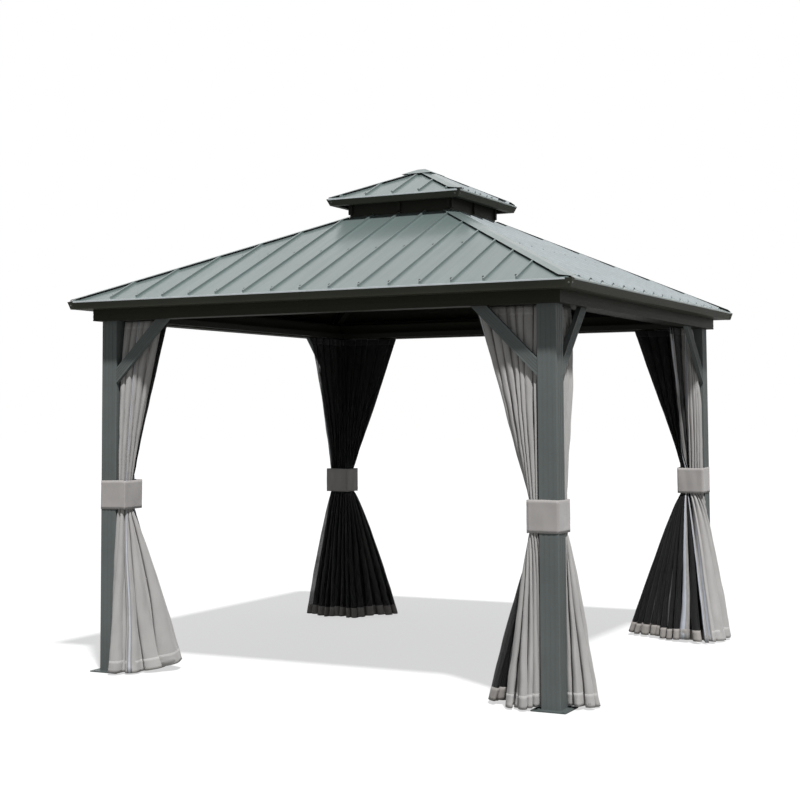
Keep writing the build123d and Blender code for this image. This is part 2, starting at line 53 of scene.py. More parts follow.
# Places taken from the frame
POST_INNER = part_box("post_front_right")[0].x
RAIL_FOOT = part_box("curtain_rails")[0].z
EAVE_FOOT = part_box("gutter_corners")[0].z
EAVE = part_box("gutter_corners")[1].x
EAVE_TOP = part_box("gutter_corners")[1].z
UPPER_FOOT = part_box("upper_fascia")[0].z
UPPER_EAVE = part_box("upper_fascia")[1].x

CORNERS = {
    "front_right": (1, -1),
    "back_right": (1, 1),
    "back_left": (-1, 1),
    "front_left": (-1, -1),
}


# Materials


def linear(r, g, b):
    """An sRGB colour of 0 to 255 as linear RGBA."""
    share = [c / 255 for c in (r, g, b)]
    light = [c / 12.92 if c <= 0.04045 else ((c + 0.055) / 1.055) ** 2.4 for c in share]
    return (*light, 1.0)


def shade(colour, times):
    return tuple(min(1.0, c * times) for c in colour[:3]) + (1.0,)


MIX_A, MIX_B, MIX_RESULT = 6, 7, 2  # the colour sockets of a Mix node


class Tree:
    """The emptied node tree of a material or world, and short ways to add nodes to it."""

    def __init__(self, owner):
        owner.use_nodes = True
        self.tree = owner.node_tree
        self.tree.nodes.clear()

    def put(self, value, socket):
        """Set a socket to a number or colour, or join another socket to it."""
        if isinstance(value, bpy.types.NodeSocket):
            self.tree.links.new(value, socket)
        else:
            socket.default_value = value

    def add(self, kind, values=None, **settings):
        """A new node with its settings, and with values for its inputs by name or number."""
        made = self.tree.nodes.new("ShaderNode" + kind)
        for key, value in settings.items():
            setattr(made, key, value)
        for key, value in (values or {}).items():
            self.put(value, made.inputs[key])
        return made

    def math(self, how, *values):
        return self.add("Math", dict(enumerate(values)), operation=how).outputs[0]

    def mixed(self, factor, a, b):
        values = {"Factor": factor, MIX_A: a, MIX_B: b}
        return self.add("Mix", values, data_type="RGBA").outputs[MIX_RESULT]

    def mixed_shader(self, factor, a, b):
        return self.add("MixShader", {"Fac": factor, 1: a, 2: b}).outputs[0]


class Surface(Tree):
    """A new material with one Principled shader, and the textures that its looks are made of."""

    def __init__(self, name):
        self.material = bpy.data.materials.new(name)
        super().__init__(self.material)
        self.shader = self.add("BsdfPrincipled")
        self.add("OutputMaterial", {"Surface": self.shader.outputs["BSDF"]})

    def set(self, **values):
        """Set or join inputs of the shader, named with _ for each space."""
        for key, value in values.items():
            self.put(value, self.shader.inputs[key.replace("_", " ")])

    def place(self, kind="Object", scale=(1, 1, 1)):
        source = self.add("TexCoord").outputs[kind]
        return self.add("Mapping", {"Vector": source, "Scale": scale}).outputs["Vector"]

    def parted(self, vector):
        """A vector's outputs X, Y and Z."""
        return self.add("SeparateXYZ", {"Vector": vector}).outputs

    def normal(self):
        return self.parted(self.add("NewGeometry").outputs["Normal"])

    def noise(self, vector, scale=1.0, detail=3.0, rough=0.55):
        values = {"Vector": vector, "Scale": scale, "Detail": detail, "Roughness": rough}
        return self.add("TexNoise", values).outputs["Fac"]

    def wave(self, vector, size, direction, distort=0.0):
        """Bands across a vector: a size of 1 mm sets them about 0.63 mm apart."""
        values = {"Vector": vector, "Scale": 1 / size / 2, "Distortion": distort}
        made = self.add("TexWave", values, wave_type="BANDS", bands_direction=direction)
        return made.outputs["Fac"]

    def ranged(self, value, span, to=(0.0, 1.0)):
        """A value's span mapped to another."""
        values = {"Value": value, "From Min": span[0], "From Max": span[1]}
        return self.add("MapRange", values | {"To Min": to[0], "To Max": to[1]}).outputs["Result"]

    def tinted(self, tone, other, value, span, to=(0.0, 1.0)):
        """A tone that goes over to another one as a value goes through a span."""
        return self.mixed(self.ranged(value, span, to), tone, other)

    def bump(self, height, strength, distance):
        values = {"Height": height, "Strength": strength, "Distance": distance}
        self.set(Normal=self.add("Bump", values).outputs["Normal"])


def coated(name, colour, rough, gloss, dust=None):
    """Powder-coated metal: a slight mottle, a fine grain, and dust on what faces up."""
    m = Surface(name)
    spot = m.place()
    cloudy = m.noise(spot, scale=2.6, detail=5.0, rough=0.6)
    fine = m.noise(spot, scale=620.0, detail=2.0)
    speckle = m.noise(spot, scale=95.0, rough=0.7)
    tone = m.tinted(shade(colour, 0.9), shade(colour, 1.1), cloudy, (0.3, 0.7))
    tone = m.tinted(tone, shade(colour, 1.45), speckle, (0.56, 0.74), (0.0, 0.16))
    if dust:
        upward = m.ranged(m.normal()["Z"], (0.3, 1.0), (0.0, 0.35))
        tone = m.mixed(m.math("MULTIPLY", upward, cloudy), tone, dust)
    m.bump(m.math("ADD", fine, m.math("MULTIPLY", speckle, 0.6)), strength=0.12, distance=0.0006)
    m.set(
        Base_Color=tone,
        Roughness=m.ranged(speckle, (0.3, 0.7), (rough - 0.07, rough + 0.09)),
        Metallic=0.0,
        Specular_IOR_Level=gloss,
    )
    return m.material


def roof_coating(name, colour, under, glint):
    """Coated roof sheet: streaks down the slope, a gloss, a painted highlight on faces turned to
    the front and back, and the frame's dark colour on faces turned down.
    """
    m = Surface(name)
    normal = m.normal()
    to_side, to_front = (m.math("ABSOLUTE", normal[axis]) for axis in "XY")
    down_front, down_side = (
        m.noise(m.place(scale=scale), detail=6.0, rough=0.65)
        for scale in ((26, 1.1, 1.1), (1.1, 26, 1.1))
    )
    streaks = m.mixed(m.math("GREATER_THAN", to_side, to_front), down_front, down_side)
    spot = m.place()
    cloudy = m.noise(spot, scale=1.7, detail=5.0, rough=0.6)
    fine = m.noise(spot, scale=520.0, detail=2.0)
    speckle = m.noise(spot, scale=70.0, rough=0.7)
    tone = m.tinted(shade(colour, 0.93), shade(colour, 1.06), cloudy, (0.3, 0.7))
    tone = m.tinted(tone, shade(colour, 0.80), streaks, (0.45, 0.8), (0.0, 0.30))
    tone = m.tinted(tone, shade(colour, 1.25), speckle, (0.6, 0.8), (0.0, 0.15))
    # Painted highlight: faces turned to the front and back (the rolled noses of the sheets and the
    # flanks of the side seams) go over to a pale tone, with less of it in the streaks.
    glint_faces = m.ranged(to_front, (0.6, 0.8))
    glint_share = m.ranged(streaks, (0.3, 0.8), (1.0, 0.75))
    tone = m.mixed(m.math("MULTIPLY", glint_faces, glint_share), tone, glint)
    # Faces turned down, the undersides of the sheets, take the frame's dark colour.
    below = m.math("LESS_THAN", normal["Z"], -0.5)
    m.bump(m.math("ADD", fine, m.math("MULTIPLY", cloudy, 3.0)), strength=0.10, distance=0.0008)
    m.set(
        Base_Color=m.mixed(below, tone, under),
        Roughness=m.ranged(streaks, (0.3, 0.8), (0.30, 0.46)),
        Metallic=0.0,
        Specular_IOR_Level=0.2,
        Coat_Weight=0.45,
        Coat_Roughness=0.16,
    )
    return m.material


WEAVE = 0.0011
NET_HOLE = 0.0024
ZIP_TOOTH = 0.007


def woven(name, colour, crease_shade=0.16):
    """Plain-woven polyester: threads both ways, creases down the cloth with painted shade in them,
    and a soft sheen.
    """
    m = Surface(name)
    spot = m.place("UV")
    cloth = m.math("MAXIMUM", *(m.wave(spot, WEAVE, way, distort=0.6) for way in "XY"))
    cloudy = m.noise(spot, scale=5.0, detail=4.0)
    creased = m.noise(m.place("UV", (20, 4.0, 1)), detail=6.0, rough=0.62)
    slub = m.noise(m.place("UV", (30, 600, 1)), detail=2.0)
    tone = m.tinted(shade(colour, 0.94), shade(colour, 1.05), cloudy, (0.3, 0.7))
    # Painted shade: the cloth is darker along its creases.
    tone = m.tinted(tone, shade(colour, 1 - 1.6 * crease_shade), creased, (0.52, 0.78), (0.0, 0.45))
    tone = m.tinted(tone, shade(colour, 1.14), slub, (0.55, 0.75), (0.0, 0.25))
    tone = m.tinted(tone, shade(colour, 0.70), cloth, (0.0, 0.6), (0.22, 0.0))
    height = m.math("ADD", m.math("MULTIPLY", cloth, 0.25), m.math("MULTIPLY", creased, 2.2))
    m.bump(height, strength=0.55, distance=0.0016)
    m.set(
        Base_Color=tone,
        Roughness=m.ranged(creased, (0.3, 0.7), (0.78, 0.92)),
        Sheen_Weight=0.25,
        Sheen_Roughness=0.45,
        Specular_IOR_Level=0.25,
    )
    return m.material


def netting(name, colour):
    """Fine black netting: threads both ways with open holes between them."""
    m = Surface(name)
    spot = m.place("UV")
    threads = m.math("MAXIMUM", *(m.wave(spot, NET_HOLE, way) for way in "XY"))
    cloudy = m.noise(spot, scale=6.0)
    held = m.ranged(threads, (0.4, 0.95), (0.80, 0.97))
    m.bump(threads, strength=0.4, distance=0.0004)
    m.set(
        Base_Color=m.tinted(shade(colour, 0.75), shade(colour, 1.5), cloudy, (0.3, 0.7)),
        Alpha=m.math("ADD", held, m.ranged(cloudy, (0.3, 0.7), (-0.04, 0.04))),
        Roughness=m.ranged(cloudy, (0.3, 0.7), (0.62, 0.8)),
        Sheen_Weight=0.1,
        Specular_IOR_Level=0.25,
    )
    return m.material


def zipper_tape(name, tape, teeth):
    """Woven tape with a pale toothed line down its middle."""
    m = Surface(name)
    spot = m.place("UV")
    off_middle = m.math("ABSOLUTE", m.math("SUBTRACT", m.parted(spot)["X"], 0.5))
    bite = m.ranged(m.wave(spot, ZIP_TOOTH, "Y"), (0.2, 0.6), (0.45, 1.0))
    line = m.math("MULTIPLY", m.math("LESS_THAN", off_middle, 0.2), bite)
    cloudy = m.noise(m.place("UV", (3, 9, 1)), scale=4.0, detail=4.0)
    tone = m.tinted(shade(tape, 0.78), shade(tape, 1.08), cloudy, (0.35, 0.7))
    m.bump(m.math("ADD", m.math("MULTIPLY", line, 1.5), cloudy), strength=0.5, distance=0.0012)
    m.set(
        Base_Color=m.mixed(line, tone, teeth),
        Roughness=m.ranged(line, (0.0, 1.0), (0.8, 0.4)),
        Specular_IOR_Level=0.4,
    )
    return m.material


ROOF = linear(104, 117, 115)
# Pale tone of the painted highlight on the roof's faces turned to the front and back
PAINTED_GLINT = linear(194, 200, 203)
DARK = linear(49, 50, 43)
FRAME = linear(52, 53, 46)
SLATE = linear(101, 107, 106)

roof_coat = roof_coating("roof_finish", ROOF, FRAME, PAINTED_GLINT)
dark_coat = coated("dark_finish", DARK, rough=0.46, gloss=0.05, dust=linear(62, 64, 56))
# Painted light: the gutters and upper fascia take a lighter copy of the dark coat, standing in for
# the sun on them; they share the dark coat's slot with the beams.
sunlit_dark_coat = coated(
    "dark_finish_sunlit", linear(69, 71, 62), rough=0.42, gloss=0.10, dust=linear(78, 80, 72)
)
post_coat = coated("post_finish", SLATE, rough=0.5, gloss=0.1)
frame_coat = coated("frame_finish", FRAME, rough=0.5, gloss=0.05)
foot_coat = coated(
    "foot_finish", linear(78, 86, 85), rough=0.45, gloss=0.2, dust=linear(92, 97, 95)
)
rail_coat = coated("rail_finish", linear(40, 41, 37), rough=0.42, gloss=0.2)
screw_dark = coated("screw_dark", linear(52, 56, 54), rough=0.4, gloss=0.4)
screw_pale = coated("screw_pale", linear(112, 114, 110), rough=0.32, gloss=0.4)
curtain_cloth = woven("curtain_cloth", linear(178, 176, 174))
band_cloth = woven("band_cloth", linear(175, 171, 169), crease_shade=0.10)
hem_cloth = woven("hem_cloth", linear(158, 153, 149), crease_shade=0.20)
net_tape = woven("net_tape", linear(30, 30, 31), crease_shade=0.12)
net_mesh = netting("net_mesh", linear(17, 17, 18))
zipper = zipper_tape("zipper_tape", linear(160, 158, 157), linear(205, 211, 222))

# CAD nodes that show as they are: their coat, its slot, and how their names start
COATS = (
    (post_coat, "post_coat", ("post_", "knee_braces")),
    (foot_coat, "foot_coat", ("foot_plates",)),
    (dark_coat, "dark_coat", ("beam_", "vent_collar", "vent_struts")),
    # Gutters and upper fascia: the lighter copy of the dark coat, with painted light
    (sunlit_dark_coat, "dark_coat", ("gutter_", "upper_fascia")),
    (rail_coat, "rail_coat", ("curtain_rails",)),
    (
        roof_coat,
        "roof_coat",
        ("roof_sheet_", "upper_sheets", "hip_caps", "upper_hip_caps", "peak_cap"),
    ),
    (
        frame_coat,
        "frame_coat",
        ("roof_ring", "hip_rafters", "side_rafters", "purlins", "upper_rafters", "peak_hub"),
    ),
)
for name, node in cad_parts.items():
    for coat, slot, starts in COATS:
        if name.startswith(starts):
            node.data.materials.clear()
            node.data.materials.append(coat)


# Meshes


def mesh_piece(name, points, faces, material, uvs=None, smooth=True):
    """A new piece from points, faces and a UV for each point, riding on the one body."""
    mesh = bpy.data.meshes.new(name)
    mesh.from_pydata([tuple(p) for p in points], [], faces)
    mesh.polygons.foreach_set("use_smooth", [smooth] * len(mesh.polygons))
    if uvs is not None:
        layer = mesh.uv_layers.new(name="UVMap")
        index = np.zeros(len(mesh.loops), np.int32)
        mesh.loops.foreach_get("vertex_index", index)
        layer.data.foreach_set("uv", np.asarray(uvs, np.float32)[index].ravel())
    mesh.materials.append(material)
    made = bpy.data.objects.new(name, mesh)
    bpy.context.scene.collection.objects.link(made)
    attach(made, "root")
    return made


def grid_faces(rows, columns):
    corner = (np.arange(rows - 1)[:, None] * columns + np.arange(columns - 1)).ravel()
    return np.stack([corner, corner + columns, corner + columns + 1, corner + 1], -1).tolist()


def thicken(made, thickness):
    solid = made.modifiers.new("thickness", "SOLIDIFY")
    solid.thickness = thickness
    solid.offset = 0.0


def running_length(points):
    """Distances along rows of points, from the first."""
    steps = np.linalg.norm(np.diff(points, axis=0), axis=-1)
    if steps.ndim > 1:
        steps = steps.mean(1)
    return np.concatenate([[0.0], np.cumsum(steps)])


# Screws and fasteners: a washer and a domed head, turned to the face they sit on

HEAD_SIDES = 10
HEAD_RINGS = ((1.0, 0.0), (1.0, 0.25), (0.66, 0.28), (0.62, 0.75), (0.40, 1.0))  # radius, rise
ROOF_HEAD = (0.0075, 0.005)  # radius, height
EAVE_HEAD = (0.0055, 0.0035)

# Roof sizes that the frame doesn't state
PITCH = math.radians(24.6)
NOSE_RADIUS = 0.003  # rolled lower edge of a sheet
NOSE_DROP = 0.006
SEAM_SPACING = 0.173
MAIN_SEAMS = 15
UPPER_SEAMS = 5
COLLAR = 0.330
GUTTER_SLANT = 0.013
FASCIA_SLANT = 0.016
FASCIA_HEIGHT = 0.038

SCREW_ASIDE = 0.021  # from its seam
HIP_CLEAR = 0.085
LOW_RISE = 0.068  # up the slope from the lower edge
HIGH_GAP = 0.07  # down the slope from the collar
UPPER_RISE = 0.055
GUTTER_INSET = 0.02  # from the ends of an eave
FASCIA_INSET = 0.03


def screws(name, places, head, material):
    """One piece with a screw at each (place, direction)."""
    radius, height = head
    angle = np.arange(HEAD_SIDES) * 2 * math.pi / HEAD_SIDES
    points, faces = [], []
    for place, direction in places:
        turn = np.array(Vector(direction).to_track_quat("Z", "Y").to_matrix())
        start = len(points)
        for share, rise in HEAD_RINGS:
            across = radius * share
            level = np.full(HEAD_SIDES, rise * height)
            ring = np.stack([np.cos(angle) * across, np.sin(angle) * across, level])
            points.extend((turn @ ring).T + np.asarray(place))
        last = len(points) - HEAD_SIDES
        for first in range(start, last, HEAD_SIDES):
            for i in range(HEAD_SIDES):
                a, b = first + i, first + (i + 1) % HEAD_SIDES
                faces.append((a, b, b + HEAD_SIDES, a + HEAD_SIDES))
        faces.append(tuple(range(last, last + HEAD_SIDES)))
        faces.append(tuple(range(start + HEAD_SIDES - 1, start - 1, -1)))
    mesh_piece(name, points, faces, material, smooth=False)


def on_four_sides(places):
    """The front side's places and directions, and the same turned to the three other sides."""
    turned = []
    for quarter in range(4):
        turn = np.array(Matrix.Rotation(quarter * math.pi / 2, 3, "Z"))
        turned.extend((turn @ np.asarray(p), turn @ np.asarray(d)) for p, d in places)
    return turned


def slope_places(edge, edge_z, seams, rises):
    """Places beside the seams of a front sheet, at distances up the slope from its lower edge."""
    normal = (0.0, -math.sin(PITCH), math.cos(PITCH))
    found = []
    for rise in rises:
        out = edge - rise * math.cos(PITCH)
        for k in range(seams):
            x = (k - (seams - 1) / 2) * SEAM_SPACING - SCREW_ASIDE
            if abs(x) < out - HIP_CLEAR:
                found.append(((x, -out, edge_z + rise * math.sin(PITCH)), normal))
    return found


def lip_places(eave, foot, slant, height, inset):
    """A place near each end of an eave's slanted front, halfway up it."""
    lean = math.atan2(slant, height)
    normal = (0.0, -math.cos(lean), -math.sin(lean))
    y, z = slant / 2 - eave, foot + height / 2
    return [((x, y, z), normal) for x in (inset - eave, eave - inset)]


NOSE_REACH = NOSE_RADIUS * (1 - math.sin(PITCH))
NOSE_RISE = NOSE_DROP + NOSE_RADIUS * math.cos(PITCH)
MAIN_EDGE = -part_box("roof_sheet_front")[0].y - NOSE_REACH
MAIN_EDGE_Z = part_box("roof_sheet_front")[0].z + NOSE_RISE
MAIN_RUN = (MAIN_EDGE - COLLAR) / math.cos(PITCH)
MAIN_RISES = (LOW_RISE, MAIN_RUN / 2, MAIN_RUN - HIGH_GAP)
UPPER_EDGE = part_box("upper_sheets")[1].x - NOSE_REACH
UPPER_EDGE_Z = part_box("upper_sheets")[0].z + NOSE_RISE

screws(
    "roof_screws",
    on_four_sides(
        slope_places(MAIN_EDGE, MAIN_EDGE_Z, MAIN_SEAMS, MAIN_RISES)
        + slope_places(UPPER_EDGE, UPPER_EDGE_Z, UPPER_SEAMS, (UPPER_RISE,))
    ),
    ROOF_HEAD,
    screw_dark,
)
screws(
    "eave_fasteners",
    on_four_sides(
        lip_places(EAVE, EAVE_FOOT, GUTTER_SLANT, EAVE_TOP - EAVE_FOOT, GUTTER_INSET)
        + lip_places(UPPER_EAVE, UPPER_FOOT, FASCIA_SLANT, FASCIA_HEIGHT, FASCIA_INSET)
    ),
    EAVE_HEAD,
    screw_pale,
)


# Cloth


def eased_path(rows, share):
    """Values at shares along a path of rows (share, value, value, ...), with no overshoot."""
    rows = np.asarray(rows, float)
    x = rows[:, 0]
    step = np.clip(np.searchsorted(x, share, side="right") - 1, 0, len(x) - 2)
    span = (x[1:] - x[:-1])[step]
    f = (share - x[step]) / span
    found = []
    for y in rows[:, 1:].T:
        rise = np.diff(y) / np.diff(x)
        tangent = np.zeros(len(y))
        tangent[0], tangent[-1] = rise[0], rise[-1]
        both = rise[:-1] * rise[1:]
        total = np.where(both > 0, rise[:-1] + rise[1:], 1.0)
        tangent[1:-1] = np.where(both > 0, 2 * both / total, 0.0)
        found.append(
            (2 * f**3 - 3 * f**2 + 1) * y[step]
            + (f**3 - 2 * f**2 + f) * span * tangent[step]
            + (3 * f**2 - 2 * f**3) * y[step + 1]
            + (f**3 - f**2) * span * tangent[step + 1]
        )
    return np.stack(found, -1)


# Plan paths of the gathered cloth, from the inner corner of a post. A curtain's rows are (share
# of its width, distance along its rail, distance across it inwards), from its free edge to its
# edge at the post; a hem's rows end with its height. A net goes round the corner, from one rail
# to the other.
CURTAIN_LINE = -0.024  # across, of the curtains' track
CURTAIN_END = 0.010  # along, of a curtain's edge at the post
CURTAIN_SPREAD = 0.298
CURTAIN_SPREADS = {
    ("front_right", "x"): 0.350,
    ("front_left", "x"): 0.245,
    ("back_right", "y"): 0.150,
    ("back_left", "x"): 0.300,
    ("back_left", "y"): 0.290,
}
CURTAIN_WAIST = (
    (0.0, 0.033, -0.010), (0.5, 0.034, -0.056), (0.72, 0.029, -0.070), (1.0, 0.010, -0.073),
)
FULL_WAIST = (
    (0.0, 0.040, -0.030), (0.4, 0.042, -0.068), (0.7, 0.036, -0.080), (1.0, 0.010, -0.078),
)
BACK_WAIST = (
    (0.0, 0.014, -0.066), (0.5, 0.014, -0.070), (0.72, 0.010, -0.073), (1.0, 0.002, -0.075),
)
OUTER_WAIST = (
    (0.0, 0.038, -0.066), (0.4, 0.040, -0.074), (0.7, 0.034, -0.078), (1.0, 0.010, -0.078),
)
CURTAIN_WAISTS = {
    ("front_right", "x"): FULL_WAIST,
    ("front_right", "y"): OUTER_WAIST,
    ("back_left", "x"): BACK_WAIST,
    ("back_left", "y"): BACK_WAIST,
}
CURTAIN_HEM = (
    (0.0, 0.120, -0.018, 0.020), (0.18, 0.140, -0.070, 0.014), (0.36, 0.122, -0.124, 0.012),
    (0.54, 0.078, -0.132, 0.012), (0.72, 0.040, -0.104, 0.012), (0.88, 0.022, -0.056, 0.012),
    (1.0, 0.020, -0.014, 0.014),
)
CURTAIN_HEMS = {
    ("front_right", "x"): (
        (0.0, 0.146, -0.026, 0.020), (0.18, 0.152, -0.084, 0.014), (0.34, 0.118, -0.128, 0.012),
        (0.52, 0.070, -0.118, 0.012), (0.68, 0.040, -0.094, 0.012), (0.86, 0.024, -0.048, 0.012),
        (1.0, 0.020, -0.010, 0.014),
    ),
    ("front_right", "y"): (
        (0.0, 0.150, -0.050, 0.022), (0.18, 0.150, -0.126, 0.014), (0.36, 0.106, -0.182, 0.012),
        (0.52, 0.049, -0.198, 0.012), (0.68, 0.014, -0.178, 0.012), (0.84, 0.016, -0.120, 0.012),
        (1.0, 0.018, -0.058, 0.014),
    ),
    ("back_right", "y"): (
        (0.0, 0.258, -0.160, 0.020), (0.18, 0.200, -0.200, 0.014), (0.36, 0.110, -0.216, 0.012),
        (0.54, 0.020, -0.216, 0.012), (0.68, -0.030, -0.205, 0.012), (0.84, 0.004, -0.144, 0.012),
        (1.0, 0.020, -0.080, 0.014),
    ),
    ("front_left", "x"): (
        (0.0, 0.266, 0.170, 0.046), (0.14, 0.236, 0.076, 0.030), (0.30, 0.172, -0.010, 0.018),
        (0.44, 0.134, -0.064, 0.012), (0.58, 0.098, -0.118, 0.012), (0.70, 0.056, -0.150, 0.012),
        (0.82, 0.018, -0.164, 0.012), (0.92, 0.016, -0.118, 0.012), (1.0, 0.020, -0.060, 0.014),
    ),
}
CURTAIN_FOLD_COUNT = 7
CURTAIN_FOLD_COUNTS = {("front_left", "x"): 5, ("back_right", "y"): 6}
CURTAIN_ZIP = (0.06, 0.46)  # from and to these steps along the folds
CURTAIN_ZIPS = {("front_left", "x"): (6.66, 6.88)}

NET_LINE = 0.0125  # across, of the nets' track
NET_TURN = 0.040  # along, where a net leaves its tracks for the corner
NET_CORNER = 0.018
NET_SPREADS = {
    "front_right": (0.365, 0.330),
    "back_right": (0.345, 0.330),
    "back_left": (0.430, 0.480),
    "front_left": (0.270, 0.330),
}
NET_WAIST = (
    (0.0, 0.028, 0.006), (0.3, 0.034, 0.020), (0.5, 0.031, 0.031), (0.7, 0.020, 0.034),
    (1.0, 0.006, 0.028),
)
SMALL_WAIST = (
    (0.0, 0.016, 0.004), (0.3, 0.020, 0.012), (0.5, 0.018, 0.018), (0.7, 0.012, 0.020),
    (1.0, 0.004, 0.016),
)
WIDE_WAIST = (
    (0.0, 0.034, -0.068), (0.3, 0.036, -0.010), (0.5, 0.031, 0.031), (0.7, -0.010, 0.036),
    (1.0, -0.068, 0.034),
)
NET_WAISTS = {"back_left": WIDE_WAIST, "front_left": SMALL_WAIST}
NET_HEMS = {
    "front_right": (
        (0.0, 0.288, -0.050, 0.022), (0.2, 0.240, 0.020, 0.014), (0.4, 0.170, 0.100, 0.012),
        (0.55, 0.100, 0.150, 0.012), (0.75, -0.010, 0.180, 0.012), (1.0, -0.120, 0.200, 0.020),
    ),
    "back_right": (
        (0.0, 0.392, 0.086, 0.024), (0.2, 0.310, 0.100, 0.016), (0.4, 0.200, 0.150, 0.012),
        (0.6, 0.080, 0.214, 0.012), (0.8, -0.060, 0.254, 0.012), (1.0, -0.186, 0.280, 0.014),
    ),
    "back_left": (
        (0.0, 0.352, -0.150, 0.014), (0.2, 0.290, 0.020, 0.014), (0.4, 0.180, 0.150, 0.012),
        (0.6, 0.060, 0.178, 0.012), (0.8, -0.070, 0.170, 0.012), (1.0, -0.198, 0.160, 0.016),
    ),
    "front_left": (
        (0.0, 0.150, 0.140, 0.050), (0.2, 0.126, 0.196, 0.030), (0.4, 0.070, 0.226, 0.014),
        (0.6, -0.010, 0.230, 0.012), (0.8, -0.110, 0.208, 0.012), (1.0, -0.210, 0.176, 0.020),
    ),
}
NET_FOLD_COUNT = 14
NET_FOLD_COUNTS = {"back_right": 11, "front_left": 16}
NET_ZIP_REACH = 0.46  # to each side of these steps along the folds
NET_ZIP_STEPS = (12.5, 18.5)
NET_ZIPS = {"back_right": (24.5, 30.5), "back_left": ()}

BRACE_BACK = -0.0725  # cloth stays behind the knee braces, and may come forward under them
CLOTH_FRONT = -0.0965
BRACE_FOOT = 1.585
BRACE_EASE = 0.10
HEADING_GAP = 0.010  # rail to the top edge of the cloth
HEM_HEIGHT = 0.065
HEADING_SHARE = 0.045  # of the drop from the rail to the band

# Powers of the shares of the drop, below one where the cloth springs out at once
CURTAIN_DRAPE = (0.92, 3.0)  # above the band, along the rail and across it
NET_DRAPE = (0.92, 1.0)
FLARE = 0.82
HEM_SWELL = 0.9

# One fold of the cloth: a broad face, then a tuck that goes back behind it and forward to the next
# face. Rows of (step, share of the face's width, depth: 1 is the front of the gathers, -1 the back)
FOLD = (
    (0.0, 0.0, -0.40), (0.22, 0.14, 0.30), (0.5, 0.48, 1.0), (0.8, 0.84, 0.90), (1.0, 1.0, 0.45),
    (1.2, 0.76, 0.10), (1.6, -0.04, -0.02), (1.85, -0.60, -0.20), (2.0, -0.70, -0.50),
    (2.2, -0.56, -0.85), (2.6, 0.26, -1.0), (3.0, 1.0, -0.40),
)
FOLD_STEPS = 3
# Waves in the cloth: rows of (size, turns along it)
SWAYS = ((0.16, 3.15, 1.7), (0.07, 8.1, 2.9))  # share of a fold; by drop, by fold
RIPPLES = ((0.0022, 1.9, 11.0), (0.0014, 3.3, -27.0), (0.0008, 6.1, 47.0))  # by step, by height
DIP = (0.005, 1.3)  # of the hem; by fold
NEARBY = 0.004  # share of the width to either side, for the cloth's direction


